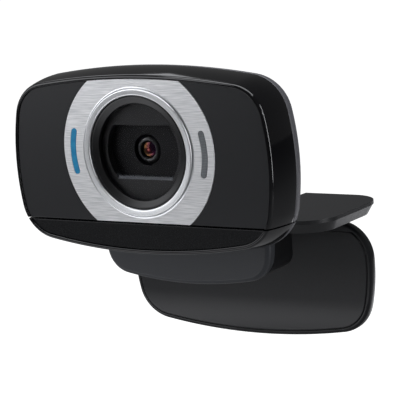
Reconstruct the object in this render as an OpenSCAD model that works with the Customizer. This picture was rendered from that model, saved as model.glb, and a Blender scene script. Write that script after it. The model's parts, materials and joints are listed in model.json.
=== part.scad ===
// Folding clip webcam: a swivelling, tilting camera head on a screen clip
// with a hinged rear flap and a tripod thread.
// Millimetres, +Z up, lens looking along -Y.
// Origin: centre of the tripod thread's mouth, on the underside of the clip.

/* [Head] */
// Overall width of the camera head, across the parting line
head_w = 72; // [64:0.5:90]
// Height of the head's front edge above the lens axis
head_top = 17.6; // [16.8:0.1:22]
// Drop of the chin's front edge below the lens axis
head_drop = 23.2; // [22.6:0.1:28]
// Depth of the head from its face to its back
head_depth = 14.6; // [14:0.1:16]
// How far the head's sides flare outwards from the front edge to the parting line
flare = 1.15; // [0.4:0.05:1.6]
// Depth of the parting line between the front shell and the rear cover
parting = 8.2; // [7.6:0.1:9]
// Wall of the head's shells
shell_wall = 1.4; // [1:0.1:1.8]
// Radius of the bow in the head's top edge
top_bow = 178; // [120:1:300]
// Radius of the bow in the head's sides
side_bow = 57; // [45:1:120]
// Radius of the bow in the chin's bottom edge
bottom_bow = 145; // [110:1:300]
// Radius of the head's top corners
top_corner = 8.7; // [6:0.1:10]
// Radius of the head's bottom corners
bottom_corner = 9.5; // [6:0.1:10]
// Drop of the split between head and chin below the lens axis
split_drop = 16; // [15.8:0.1:17]
// Gap between head and chin, which lets the head swivel
split_gap = 0.4; // [0.3:0.05:0.8]

/* [Face] */
// Width of the shell's rim round the face panel
rim_w = 0.9; // [0.7:0.1:1.4]
// Thickness of the face panel
face_t = 1.6; // [1.4:0.1:2]
// Width of the brushed trim plate outside the lens ring
plate_band = 5.4; // [4.8:0.1:6]
// Thickness of the trim plate
plate_t = 0.7; // [0.5:0.1:0.8]
// Distance of the curved bars' centre line from the lens ring
bar_inset = 2.8; // [2.2:0.1:3.2]
// Width of the curved bars
bar_w = 1.4; // [1:0.1:1.8]
// Half the angle that a curved bar spans about the lens
bar_angle = 15; // [10:1:20]

/* [Lens] */
// Outer radius of the bright lens ring
ring_r = 15; // [12.5:0.1:15.6]
// Width of the bright lens ring
ring_w = 2; // [1.6:0.1:2.4]
// Width of the black bezel inside the ring
bezel_w = 1.9; // [1.4:0.1:2.2]
// Width of the lens mask outside its window
mask_w = 1.5; // [1:0.1:2.5]
// Half the height of the window in the lens mask
window_h = 5.9; // [5:0.1:7]
// Radius of the moving lens carrier
carrier_r = 3.2; // [2.8:0.1:3.6]
// Radius of the front lens
lens_r = 1.9; // [1.4:0.1:2]
// Travel of the lens carrier when it focuses
focus_travel = 0.3; // [0.1:0.05:0.4]

/* [Clip] */
// Width of the bridge that lies over the screen
bridge_w = 70.4; // [60:0.5:90]
// Depth of the bridge from its front edge to its rear edge
bridge_d = 31.8; // [30:0.1:40]
// Thickness of the bridge
bridge_t = 3.2; // [3:0.1:4]
// Radius of the bridge's corners
bridge_corner = 8; // [6:0.5:10]
// Width of the notch in the bridge's rear edge
notch_w = 27; // [20:0.5:32]
// Depth of the notch in the bridge's rear edge
notch_d = 5; // [4.6:0.1:5.2]
// Width of the front lip
lip_w = 46; // [40:0.5:54]
// Thickness of the front lip
lip_t = 3; // [2.4:0.1:3.4]
// Depth of the jaw block behind the lip
block_d = 9; // [8.8:0.1:10]
// Height of the jaw block below the bridge
block_h = 9.8; // [8:0.1:11]
// Height of the tripod boss below the bridge
boss_h = 12.9; // [12.9:0.1:15]
// Thickness of the rubber pads
pad_t = 0.8; // [0.5:0.1:1.2]

/* [Tripod thread] */
// Radius of the quarter-inch thread
thread_r = 3.175; // [2.5:0.005:3.2]
// Depth of the threaded hole
thread_depth = 8; // [6:0.5:9]
// Outer radius of the threaded insert
insert_r = 3.9; // [3.6:0.05:4]

/* [Flap] */
// Width of the rear flap
flap_w = 68.4; // [60:0.5:80]
// Height of the rear flap
flap_h = 31.4; // [26:0.2:40]
// Thickness of the rear flap
flap_t = 3.7; // [3.6:0.1:4.4]

/* [Hinges] */
// Radius of the tilt hinge's knuckles
knuckle_r = 3; // [2.8:0.1:3]
// Radius of the tilt pin
tilt_pin_r = 1.25; // [0.9:0.05:1.4]
// Half the width of the tilt lug
lug_half = 8; // [6:0.5:10]
// Width of each tilt knuckle
knuckle_w = 5.8; // [4:0.1:8]
// Radius of the flap pin
flap_pin_r = 0.9; // [0.7:0.05:1]
// Radius of the swivel post
post_r = 2.6; // [2.2:0.1:2.8]
// Running clearance round a pin or post
running = 0.05; // [0.02:0.01:0.1]
// Gap that keeps two moving pieces apart
gap = 0.35; // [0.3:0.05:0.5]

/* [Hidden] */
$fn = 64;
over = 1;

// Where things lie, seen from the tripod thread's mouth
block_y = -block_d / 2;
lip_y = block_y - lip_t;
head_behind = 1.4;
face_y = lip_y - head_behind - head_depth;
bridge_under = boss_h;
bridge_top = bridge_under + bridge_t;
bridge_rear = block_y + bridge_d;
chin_low = bridge_under - 1.7;
lens_z = chin_low + head_drop;

// The head's outline, in the plane of its face about the lens axis
head_half = head_w / 2 - flare;
side_height = -3;
head_outline = [head_half, head_top, head_drop, side_height, top_bow, side_bow, bottom_bow,
    top_corner, bottom_corner];
front_lip = 0.3;
back_flat = 5;
cover_screw_x = head_half - 6.85;
cover_screw_z = 10;
cover_boss_r = 2.2;

// The face, from the lens ring outwards
plate_r = ring_r + plate_band;
bar_r = ring_r + bar_inset;
stem_inset = 0.25;
proud = 0.1;

// The lens recess, from the ring inwards and back from the face
ring_bore = ring_r - ring_w;
bezel_bore = ring_bore - bezel_w;
window_r = bezel_bore - mask_w;
recess_r = bezel_bore + 0.5;
window_y = 1.5;
window_t = 0.6;
mask_y = window_y + window_t;
floor_y = mask_y + 1.9;
holder_y = floor_y + 1.5;
holder_w = 10.5;
carrier_front = floor_y - 0.1 + focus_travel;

// The swivel, measured behind the face and up from the lens axis
swivel_y = 7.8;
floor_t = 1.2;
floor_join = swivel_y - post_r - gap * 4;
washer_t = 0.8;
washer_base = -split_drop + floor_t + gap;
clip_t = 0.7;
clip_base = washer_base + washer_t;
post_top = clip_base + clip_t + 0.2;
post_sunk = 4;
post_flange_t = 0.3;

// The chin's inside
chin_front_t = 1.4;
chin_floor_t = shell_wall + 0.3;
seat_half = lug_half + 6;

// The bridge
cover_t = 0.9;
base_edge = 0.8;
bridge_screw_x = 24;
bridge_screw_y = [bridge_rear - bridge_d + 7, bridge_rear - 10];
bridge_pad_t = 0.3;
bridge_pad_half = 19;

// The tilt hinge, about X
tilt_y = lip_y + 2.4;
tilt_z = bridge_under + bridge_t / 2;
washer_w = 0.5;
knuckle_start = lug_half + gap + washer_w;
knuckle_end = knuckle_start + knuckle_w;

// The flap, hung below the bridge on its own pin
flap_front_y = bridge_rear - 7.4;
flap_axis_y = flap_front_y + flap_t / 2;
flap_axis_z = bridge_under - gap - flap_t / 2;
flap_top = flap_axis_z + flap_t / 2;
flap_mid = flap_top - 12;
flap_rear_y = flap_front_y + flap_t;
flap_panel_t = 1.2;
flap_screw_x = 24;
flap_screw_z = [flap_axis_z - 8, flap_axis_z - flap_h + 7.4];
flap_outline = [flap_w / 2, flap_top - flap_mid, flap_h - (flap_top - flap_mid), 0, 190, 45, 150,
    9, 9.5];
flap_wall = 1.1;
ear_w = 3.4;
ear_half = flap_t / 2 - 0.75;
ear_start = notch_w / 2 + gap;
ear_end = ear_start + gap + ear_w;
slot_end = ear_end + gap;

// The lip and the block, drawn about the middle of their top edge
lip_top = bridge_under - 1.9;
lip_drop = lip_top - 0.3;
lip_outline = [lip_w / 2, 3, lip_drop, 1, 400, 30, 95, 1.5, 6.6];
block_corner = 3.5;

// The electronics, measured behind the face
board_y = head_depth - 4.2;
board_t = 1;
board_w = (cover_screw_x - cover_boss_r - 1.3) * 2;
board_h = 18;
board_lift = 2.5;
board_hole_x = board_w / 2 - 3;
board_hole_z = board_h / 2 - 2.5;
board_boss_r = 2.1;
chip_w = 8;
chip_t = 0.9;
sensor_t = 0.9;
led_t = 0.8;
mic_r = 2;
mic_t = 2;
boot_wall = 0.8;

// Screws
screw_r = 0.9;
screw_head_r = 1.6;
screw_core_r = 0.7;
screw_room = 0.1;
cross_half = 0.9;
cross_w = 0.36;

// The cable's bush, seen from the lens axis
grommet_x = -20;
grommet_z = -10.5;
grommet_r = 2.6;
grommet_flange_r = 3.4;
grommet_boss_r = 3.6;
cable_r = 1.75;

// Points on an arc about c from angle a0 towards a1, without the last
function arc(c, r, a0, a1, n) =
    [for (i = [0 : n - 1]) let (a = a0 + (a1 - a0) * i / n) c + r * [cos(a), sin(a)]];

// Where two circles meet, on the left of the line from the first centre to the second
function meet(c1, r1, c2, r2) =
    let (d = norm(c2 - c1))
    let (along = (r1 * r1 - r2 * r2 + d * d) / (2 * d))
    let (side = sqrt(r1 * r1 - along * along))
    let (u = (c2 - c1) / d)
    c1 + along * u + side * [-u[1], u[0]];

function angle_of(v) = atan2(v[1], v[0]);

// The right half of a bowed outline: half width, top, drop, height of the widest point, then
// the radii of the top, side and bottom bows and of the top and bottom corners.
// Each arc keeps its centre when the outline grows by d.
function half_outline(o, d) =
    let (top = [0, o[1] - o[4]])
    let (side = [o[0] - o[5], o[3]])
    let (bottom = [0, o[6] - o[2]])
    let (upper = meet(side, o[5] - o[7], top, o[4] - o[7]))
    let (lower = meet(bottom, o[6] - o[8], side, o[5] - o[8]))
    let (a1 = angle_of(upper - top))
    let (a2 = angle_of(upper - side))
    let (a3 = angle_of(lower - side))
    let (a4 = angle_of(lower - bottom))
    concat(arc(top, o[4] + d, 90, a1, 6), arc(upper, o[7] + d, a1, a2, 9),
        arc(side, o[5] + d, a2, a3, 5), arc(lower, o[8] + d, a3, a4, 9),
        arc(bottom, o[6] + d, a4, -90, 6), [bottom - [0, o[6] + d]]);

// The whole outline, clockwise from the top middle
function outline(o, d = 0) =
    let (half = half_outline(o, d))
    let (n = len(half))
    concat(half, [for (i = [n - 2 : -1 : 1]) [-half[i][0], half[i][1]]]);

// A closed skin through outlines: each section is [depth, growth]
module loft(o, sections) {
    rings = [for (s = sections) [for (p = outline(o, s[1])) [p[0], s[0], p[1]]]];
    n = len(rings[0]);
    last = (len(rings) - 1) * n;
    polyhedron(
        points = [for (r = rings) each r],
        faces = concat(
            [[for (i = [0 : n - 1]) i]],
            [for (k = [0 : n : last - n]) for (i = [0 : n - 1]) let (j = (i + 1) % n)
                each [[k + i, k + n + i, k + n + j], [k + i, k + n + j, k + j]]],
            [[for (i = [n - 1 : -1 : 0]) last + i]]
        )
    );
}

// A flat shape in X and Z, extruded from depth y0 back to depth y1
module slab(y0, y1) {
    translate([0, y1, 0]) rotate([90, 0, 0]) linear_extrude(y1 - y0) children();
}

// A round piece about Y from depth y0, radius r0, back to depth y1, radius r1
module turned(y0, y1, r0, r1) {
    translate([0, y1, 0]) rotate([90, 0, 0]) cylinder(h = y1 - y0, r1 = r1, r2 = r0);
}

// A ring about Y
module ring_y(y0, y1, outer, inner) {
    difference() {
        turned(y0, y1, outer, outer);
        turned(y0 - over, y1 + over, inner, inner);
    }
}

// A rod along X
module rod_x(x0, x1, r) {
    translate([x0, 0, 0]) rotate([0, 90, 0]) cylinder(h = x1 - x0, r = r);
}

// A box from one corner to the other
module block(low, high) {
    translate(low) cube(high - low);
}

// Places children at the lens axis in the plane of the face
module at_lens() {
    translate([0, face_y, lens_z]) children();
}

// Places children on the swivel's axis, at the height of the lens
module at_swivel() {
    at_lens() translate([0, swivel_y, 0]) children();
}

// Both sides of the middle plane
module both_sides() {
    children();
    mirror([1, 0, 0]) children();
}

// Places children at each of the board's four screws
module at_board_holes() {
    for (x = [-1, 1]) for (z = [-1, 1])
        translate([x * board_hole_x, 0, board_lift + z * board_hole_z]) children();
}

// Places children at each of the rear cover's four screws
module at_cover_screws() {
    for (x = [-1, 1]) for (z = [-1, 1])
        translate([x * cover_screw_x, 0, z * cover_screw_z]) children();
}

// Places children at each of the four screws under the bridge
module at_bridge_screws() {
    for (x = [-bridge_screw_x, bridge_screw_x]) for (y = bridge_screw_y)
        translate([x, y, bridge_under]) children();
}

// Places children at each of the four screws in the flap's back
module at_flap_screws() {
    for (x = [-flap_screw_x, flap_screw_x]) for (z = flap_screw_z)
        translate([x, flap_rear_y, z]) children();
}

// Places children on the axis of the tilt hinge, or of the flap's hinge
module at_tilt() {
    translate([0, tilt_y, tilt_z]) children();
}

module at_flap_axis() {
    translate([0, flap_axis_y, flap_axis_z]) children();
}

// Places children at the cable's bush
module at_grommet() {
    translate([grommet_x, 0, grommet_z]) children();
}

// Everything above, or below, the split between head and chin
module above_split() {
    block([-head_w, -over * 5, -split_drop], [head_w, head_depth * 2, head_top * 2]);
}

module below_split() {
    block([-head_w, -over * 5, -head_drop * 2], [head_w, head_depth * 2, -split_drop - split_gap]);
}

// The curved bar's outline on the right of the lens: two arcs joined by round ends
module bar_shape(grow = 0) {
    half = bar_w / 2 + grow;
    end = bar_r * [cos(bar_angle), sin(bar_angle)];
    polygon(concat(
        arc([0, 0], bar_r + half, -bar_angle, bar_angle, 12),
        arc(end, half, bar_angle, bar_angle + 180, 8),
        arc([0, 0], bar_r - half, bar_angle, -bar_angle, 12),
        arc([end[0], -end[1]], half, 180 - bar_angle, 360 - bar_angle, 8)
    ));
}

// The trim plate's outline: a circle cut by the face opening and by the split
module plate_shape(grow = 0) {
    intersection() {
        circle(r = plate_r + grow);
        polygon(outline(head_outline, grow - rim_w));
        translate([-head_w, -split_drop]) square([head_w * 2, head_top * 3]);
    }
}

// Outer skins of the head in front of and behind the parting line
module front_skin() {
    loft(head_outline, [[-front_lip, -0.25], [0, 0], [parting / 3, flare * 0.45],
        [parting * 2 / 3, flare * 0.8], [parting, flare]]);
}

module rear_skin() {
    rear = head_depth - parting;
    loft(head_outline, [[parting, flare - 0.15], [parting + 0.3, flare + 0.05],
        [parting + rear * 0.3, flare - 0.1], [parting + rear * 0.6, flare - 1.1],
        [parting + rear * 0.85, flare - 3.1], [head_depth, flare - 1.2 - back_flat]]);
}

module rear_hollow(front) {
    rear = head_depth - shell_wall - parting;
    loft(head_outline, [[front, flare - shell_wall], [parting + rear * 0.3, flare - shell_wall],
        [parting + rear * 0.7, flare - shell_wall - 1.2],
        [head_depth - shell_wall, flare - shell_wall - 3]]);
}

module front_hollow() {
    loft(head_outline, [[face_t + shell_wall, flare * 0.45 - shell_wall],
        [parting, flare - shell_wall], [parting + over, flare - shell_wall]]);
}

// ---- Camera head ----

// Gloss shell that frames the face and wraps the front half of the head
module front_shell() {
    color("#08080b") at_lens() {
        difference() {
            intersection() {
                front_skin();
                above_split();
            }
            slab(-over, face_t) polygon(outline(head_outline, -rim_w));
            slab(face_t - 0.01, face_t + shell_wall + 0.01)
                polygon(outline(head_outline, -rim_w - 1.8));
            front_hollow();
        }
        intersection() {
            slab(face_t, floor_join) polygon(outline(head_outline, -rim_w));
            block([-head_w, 0, -split_drop], [head_w, parting, -split_drop + floor_t]);
        }
    }
}

// Matte cover that closes the back of the head and carries the swivel's socket
module rear_cover() {
    color("#57575b") at_lens() difference() {
        union() {
            difference() {
                intersection() {
                    rear_skin();
                    above_split();
                }
                rear_hollow(parting - over);
            }
            intersection() {
                union() {
                    slab(floor_join + 0.1, parting)
                        polygon(outline(head_outline, flare * 0.45 - shell_wall - 0.1));
                    slab(parting, head_depth - shell_wall - 0.8)
                        polygon(outline(head_outline, flare - shell_wall));
                }
                block([-head_w, 0, -split_drop], [head_w, head_depth, -split_drop + floor_t]);
            }
            at_cover_screws() turned(parting, head_depth - shell_wall, cover_boss_r, cover_boss_r);
            at_grommet()
                turned(head_depth - 3.2, head_depth - shell_wall, grommet_boss_r, grommet_boss_r);
        }
        at_cover_screws() {
            turned(parting - over, head_depth + over, screw_r + screw_room, screw_r + screw_room);
            turned(head_depth - 2, head_depth + over, screw_head_r + screw_room * 2,
                screw_head_r + screw_room * 2);
        }
        at_grommet() turned(head_depth - 5, head_depth + over, grommet_r, grommet_r);
        translate([0, swivel_y, -split_drop - over])
            cylinder(h = floor_t + over * 2, r = post_r + running);
    }
}

// Satin panel behind the shell's rim, with a pocket for the trim plate and bosses for the board
module face_panel() {
    color("#34363a") at_lens() {
        difference() {
            slab(0, face_t) intersection() {
                polygon(outline(head_outline, -rim_w - 0.05));
                translate([-head_w, -split_drop]) square([head_w * 2, head_top * 3]);
            }
            slab(-over, plate_t - proud) plate_shape(0.05);
            turned(-over, face_t + over, ring_r - 0.6, ring_r - 0.6);
            slab(-over, face_t + over) {
                bar_shape(-0.2);
                mirror([1, 0]) bar_shape(-0.2);
            }
        }
        at_board_holes() ring_y(face_t - 0.2, board_y, board_boss_r, screw_core_r);
    }
}

// Brushed plate round the lens
module trim_plate() {
    color("#d2d4d6") at_lens() difference() {
        slab(-proud, plate_t - proud) plate_shape();
        turned(-over, face_t, ring_r, ring_r);
        slab(-over, face_t) {
            bar_shape(0.05);
            mirror([1, 0]) bar_shape(0.05);
        }
    }
}

// Light pipe that glows when the camera is in use, on the left of the lens
module light_bar() {
    color("#1c86b8") at_lens() {
        slab(-proud * 1.5, plate_t - proud) mirror([1, 0]) bar_shape();
        slab(plate_t - proud, board_y - led_t - 0.1) mirror([1, 0]) bar_shape(-stem_inset);
    }
}

// Grille over the microphone, on the right of the lens
module mic_bar() {
    color("#54575a") at_lens() {
        slab(-proud * 1.5, plate_t - proud) bar_shape();
        slab(plate_t - proud, face_t) bar_shape(-stem_inset);
    }
}

// Bright bevelled ring round the lens recess
module lens_ring() {
    color("#e6e8ea") at_lens() rotate([90, 0, 0]) rotate_extrude() polygon([
        [ring_bore, -3], [ring_bore, 0.1], [ring_bore + 0.35, 0.6], [ring_r - 0.45, 0.75],
        [ring_r, 0.3], [ring_r, proud - plate_t], [ring_r - 0.65, proud - plate_t],
        [ring_r - 0.65, -3]]);
}

// Black bezel that steps down inside the ring
module lens_bezel() {
    color("#1c1c1f") at_lens() rotate([90, 0, 0]) rotate_extrude() polygon([
        [bezel_bore, -0.5], [bezel_bore, -window_y], [recess_r, -window_y],
        [recess_r, -holder_y + 0.1], [recess_r + 0.8, -holder_y + 0.1], [recess_r + 0.8, -3],
        [ring_bore - 0.02, -3], [ring_bore - 0.02, -0.2], [ring_bore - 0.5, 0]]);
}

// Clear window that keeps dust off the lens
module cover_window() {
    color("#90a0a8") at_lens() turned(window_y, mask_y, recess_r, recess_r);
}

// Black mask with the lens window, whose lower edge is chamfered
module lens_mask() {
    color("#242427") at_lens() difference() {
        turned(mask_y, floor_y, recess_r, recess_r);
        slab(mask_y - over, floor_y + over) intersection() {
            circle(r = window_r);
            square([window_r * 2, window_h * 2], center = true);
        }
        translate([0, mask_y, -window_h]) rotate([45, 0, 0])
            cube([window_r * 1.56, 0.8, 0.8], center = true);
    }
}

// Floor of the recess, with a hole for the lens
module lens_baffle() {
    color("#19191b") at_lens() difference() {
        turned(floor_y, holder_y - 0.2, recess_r, recess_r);
        turned(floor_y - over, holder_y + over, carrier_r + 0.4, carrier_r + 0.4);
    }
}

// Housing of the focusing coil, in which the carrier slides
module lens_holder() {
    color("#2a2a2c") at_lens() difference() {
        slab(holder_y, board_y) square(holder_w, center = true);
        turned(floor_y, board_y + over, carrier_r + running, carrier_r + running);
        block([-3.6, board_y - 1.6, -3.6], [3.6, board_y + over, 3.6]);
    }
}

// Sliding barrel that carries the lens
module lens_carrier() {
    back = board_y - 2.2;
    nose = carrier_front + 0.8;
    color("#101012") at_lens() difference() {
        union() {
            turned(nose, back, carrier_r, carrier_r);
            turned(carrier_front, nose, lens_r + 0.5, carrier_r);
        }
        turned(carrier_front - over, carrier_front + 1.8, lens_r, lens_r);
        turned(carrier_front - over, back + over, lens_r - 0.5, lens_r - 0.5);
    }
}

// Domed front lens
module front_lens() {
    dome = 4.5;
    color("#6a4a5c") at_lens() intersection() {
        turned(carrier_front, carrier_front + 1.8, lens_r, lens_r);
        translate([0, carrier_front + 0.15 + dome, 0]) sphere(r = dome);
    }
}

// Image sensor under the lens
module image_sensor() {
    color("#3c5a4a") at_lens() slab(board_y - sensor_t, board_y) square([6, 5], center = true);
}

// Main board
module circuit_board() {
    color("#1d5a36") at_lens() difference() {
        slab(board_y, board_y + board_t)
            translate([0, board_lift]) square([board_w, board_h], center = true);
        at_board_holes() turned(board_y - over, board_y + board_t + over, screw_core_r + screw_room,
            screw_core_r + screw_room);
    }
}

// Chip that encodes the video, on the board's rear
module image_processor() {
    color("#222224") at_lens() translate([12, 0, 1])
        slab(board_y + board_t, board_y + board_t + chip_t) square(chip_w, center = true);
}

// Lamp behind the light pipe
module status_led() {
    color("#e8e4c8") at_lens() translate([-bar_r, 0, 0])
        slab(board_y - led_t, board_y) square([1.6, 2.4], center = true);
}

// Microphone capsule behind the grille
module microphone() {
    color("#b8b8b4") at_lens() translate([bar_r, 0, 0])
        turned(board_y - mic_t, board_y, mic_r, mic_r);
}

// Rubber boot that leads sound from the grille to the capsule
module mic_boot() {
    color("#1b1b1b") at_lens() translate([bar_r, 0, 0]) {
        ring_y(board_y - mic_t, board_y, mic_r + boot_wall, mic_r);
        ring_y(face_t, board_y - mic_t, mic_r + boot_wall, mic_r - boot_wall);
    }
}

// A screw along Y with its head at the back
module screw_y(head_y, head_t, tip_y, r, head_r) {
    turned(head_y, head_y + head_t, head_r, head_r);
    turned(tip_y, head_y, r, r);
}

// The cross cut in a screw's head, from y0 back to y1
module cross_y(y0, y1) {
    for (turn = [0, 90]) rotate([0, turn, 0])
        block([-cross_half, y0, -cross_w / 2], [cross_half, y1, cross_w / 2]);
}

// Four screws that hold the board to the face panel
module board_screws() {
    color("#b9bcc0") at_lens() at_board_holes()
        screw_y(board_y + board_t, 0.7, board_y - 3, screw_core_r, screw_head_r - 0.1);
}

// Four screws that hold the rear cover
module cover_screws() {
    color("#8c8f94") at_lens() at_cover_screws() difference() {
        screw_y(head_depth - 2, 0.9, parting + 0.4, screw_r, screw_head_r);
        cross_y(head_depth - 1.6, head_depth);
    }
}

// Rubber bush where the cable enters the back of the head
module cable_grommet() {
    color("#161616") at_lens() at_grommet() difference() {
        union() {
            turned(head_depth - 4.2, head_depth + 0.6, grommet_r, grommet_r);
            turned(head_depth - 4.2, head_depth - 3.2, grommet_flange_r, grommet_flange_r);
            turned(head_depth, head_depth + 0.6, grommet_flange_r, grommet_flange_r - 0.2);
        }
        turned(head_depth - 5, head_depth + over, cable_r, cable_r);
    }
}

// ---- Swivel ----

// Steel post pressed into the chin's frame, on which the head turns
module swivel_post() {
    color("#a8abb0") at_swivel() difference() {
        union() {
            translate([0, 0, -split_drop - post_sunk])
                cylinder(h = post_sunk + split_drop + post_top, r = post_r);
            translate([0, 0, -split_drop - split_gap - post_flange_t])
                cylinder(h = post_flange_t, r = post_r + 1);
        }
        translate([0, 0, clip_base]) difference() {
            cylinder(h = clip_t, r = post_r + over);
            translate([0, 0, -over]) cylinder(h = clip_t + over * 2, r = post_r - 0.5);
        }
    }
}

// Wave washer that gives the swivel its friction
module swivel_washer() {
    color("#c3c5c8") at_swivel() translate([0, 0, washer_base]) difference() {
        cylinder(h = washer_t, r = post_r + 1.3);
        translate([0, 0, -over]) cylinder(h = washer_t + over * 2, r = post_r);
    }
}

// Spring clip in the post's groove
module swivel_clip() {
    color("#8f9297") at_swivel() translate([0, 0, clip_base]) difference() {
        cylinder(h = clip_t, r = post_r + 1);
        translate([0, 0, -over]) cylinder(h = clip_t + over * 2, r = post_r - 0.5);
        block([-1.2, 0, -over], [1.2, post_r * 2, clip_t + over]);
    }
}

// ---- Chin ----

// Room for the chin's frame
module chin_cavity() {
    block([-seat_half - 0.1, 2, -head_drop + chin_floor_t],
        [seat_half + 0.1, head_depth + over, -split_drop]);
}

// Gloss shell under the face
module chin_shell() {
    color("#08080b") at_lens() difference() {
        intersection() {
            front_skin();
            below_split();
        }
        slab(-over, chin_front_t) polygon(outline(head_outline, -rim_w));
        chin_cavity();
    }
}

// Satin panel in front of the chin
module chin_panel() {
    color("#26272a") at_lens() slab(0.05, chin_front_t) intersection() {
        polygon(outline(head_outline, -rim_w - 0.05));
        translate([-head_w, -head_drop * 2])
            square([head_w * 2, head_drop * 2 - split_drop - split_gap]);
    }
}

// Matte cover behind the chin
module chin_rear() {
    color("#57575b") at_lens() difference() {
        intersection() {
            rear_skin();
            below_split();
            block([-head_w, parting, -head_drop * 2], [head_w, head_depth - 1, 0]);
        }
        chin_cavity();
    }
}

// Frame inside the chin, with the seat of the swivel post and the lug of the tilt hinge
module chin_frame() {
    seat_top = lens_z - split_drop - split_gap;
    seat_low = lens_z - head_drop + chin_floor_t;
    seat_back = face_y + head_depth - 2;
    color("#2b2b2e") difference() {
        union() {
            block([-seat_half, face_y + 2.1, seat_low], [seat_half, seat_back, seat_top]);
            block([-lug_half, seat_back - 0.1, seat_low], [lug_half, tilt_y, tilt_z + 2.1]);
            at_tilt() rod_x(-lug_half, lug_half, knuckle_r);
        }
        at_tilt() rod_x(-lug_half - over, lug_half + over, tilt_pin_r + running);
        at_swivel() translate([0, 0, -split_drop - post_sunk])
            cylinder(h = post_sunk + over, r = post_r);
        at_swivel() translate([0, 0, -split_drop - split_gap - post_flange_t])
            cylinder(h = post_flange_t + over, r = post_r + 1);
    }
}

// ---- Clip ----

// The bridge's outline seen from above, grown by d, with the notch at its rear
module bridge_plan(d = 0) {
    half = bridge_w / 2 + d;
    front = bridge_rear - bridge_d - d;
    rear = bridge_rear + d;
    r = bridge_corner + d;
    difference() {
        union() {
            for (s = [-1, 1]) for (y = [front + r, rear - r]) {
                translate([s * (half - r), y]) circle(r = r);
            }
            translate([-half, front + r]) square([half * 2, rear - front - r * 2]);
            translate([r - half, front]) square([(half - r) * 2, rear - front]);
        }
        translate([-notch_w / 2, bridge_rear - notch_d]) square([notch_w, notch_d * 2]);
    }
}

// Room for the tilt lug and its knuckle in the front of the clip
module lug_room() {
    at_tilt() rod_x(-knuckle_start, knuckle_start, knuckle_r + gap);
    block([-knuckle_start, tilt_y - knuckle_r * 3, tilt_z - knuckle_r - gap],
        [knuckle_start, tilt_y, tilt_z + knuckle_r * 3]);
}

// Top skin of the bridge
module bridge_cover() {
    color("#2e2f32") difference() {
        translate([0, 0, bridge_top - cover_t]) linear_extrude(cover_t) bridge_plan();
        lug_room();
        both_sides() at_tilt() rod_x(knuckle_start - over, knuckle_end, knuckle_r);
    }
}

// Body of the bridge, with the knuckles of the tilt hinge and the ears of the flap hinge
module bridge_base() {
    color("#232427") difference() {
        union() {
            difference() {
                union() {
                    translate([0, 0, bridge_under + base_edge])
                        linear_extrude(bridge_t - cover_t - base_edge) bridge_plan(-0.4);
                    translate([0, 0, bridge_under]) linear_extrude(base_edge) bridge_plan(-1.2);
                }
                lug_room();
            }
            both_sides() at_tilt() rod_x(knuckle_start, knuckle_end, knuckle_r);
            both_sides() {
                at_flap_axis() rod_x(ear_start + gap, ear_end, flap_t / 2);
                block([ear_start + gap, flap_axis_y - ear_half, flap_axis_z],
                    [ear_end, flap_axis_y + ear_half, bridge_under + 0.5]);
            }
        }
        at_tilt() rod_x(-knuckle_end - gap, knuckle_end + gap, tilt_pin_r);
        at_flap_axis() rod_x(-ear_end - over, ear_end + over, flap_pin_r);
        at_bridge_screws() translate([0, 0, -over]) {
            cylinder(h = bridge_t - cover_t + over, r = screw_r);
            cylinder(h = 1.1 + over, r = screw_head_r + screw_room);
        }
    }
}

// Rubber strip under the bridge that rests on the screen's edge
module bridge_pad() {
    y0 = block_y + block_d + pad_t + 1;
    y1 = flap_front_y - 2.6;
    color("#151515") block([-bridge_pad_half, y0, bridge_under - bridge_pad_t],
        [bridge_pad_half, y1, bridge_under]);
}

// Four screws that join the bridge's halves from below
module bridge_screws() {
    sunk = 0.3;
    color("#8c8f94") at_bridge_screws() translate([0, 0, sunk]) difference() {
        union() {
            cylinder(h = 0.8, r = screw_head_r);
            cylinder(h = bridge_t - cover_t - sunk, r = screw_r);
        }
        for (turn = [0, 90]) rotate([0, 0, turn])
            block([-cross_half, -cross_w / 2, -over], [cross_half, cross_w / 2, 0.4]);
    }
}

// Front lip that hangs down in front of the screen
module clip_lip() {
    color("#35373a") difference() {
        translate([0, 0, lip_top]) intersection() {
            loft(lip_outline, [[lip_y, -0.9], [lip_y + 0.4, -0.3], [lip_y + 1, 0], [block_y, -0.2]]);
            block([-lip_w, lip_y - over, -lip_drop - over], [lip_w, block_y, 0]);
        }
        lug_room();
        block([-knuckle_start, lip_y - over, lip_top - 1.1],
            [knuckle_start, block_y + over, lip_top + over]);
    }
}

// Jaw block behind the lip, with the boss of the tripod thread
module clip_block() {
    half = lip_w / 2 - 0.9;
    low = bridge_under - block_h;
    color("#1c1c1e") difference() {
        union() {
            slab(block_y, block_y + block_d) {
                for (s = [-1, 1]) translate([s * (half - block_corner), low + block_corner])
                    circle(r = block_corner);
                translate([-half, low + block_corner])
                    square([half * 2, block_h - block_corner]);
                translate([block_corner - half, low])
                    square([(half - block_corner) * 2, block_h]);
            }
            cylinder(h = bridge_under - over, r = block_d / 2);
        }
        lug_room();
        at_tilt() rod_x(-knuckle_end - gap, knuckle_end + gap, knuckle_r);
        translate([0, 0, -over]) cylinder(h = thread_depth + over, r = insert_r);
    }
}

// Rubber face of the jaw block
module jaw_pad() {
    y0 = block_y + block_d;
    margin = 1;
    low = bridge_under - block_h + margin;
    high = bridge_under - margin;
    half = lip_w / 2 - 2.4;
    r = 2.5;
    color("#141414") slab(y0, y0 + pad_t) {
        for (s = [-1, 1]) for (z = [low + r, high - r])
            translate([s * (half - r), z]) circle(r = r);
        translate([-half, low + r]) square([half * 2, high - low - r * 2]);
        translate([r - half, low]) square([(half - r) * 2, high - low]);
    }
}

// Brass insert with the tripod thread
module thread_insert() {
    color("#b99a56") difference() {
        cylinder(h = thread_depth, r = insert_r);
        translate([0, 0, -over]) cylinder(h = thread_depth + over * 2, r = thread_r);
    }
}

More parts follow.
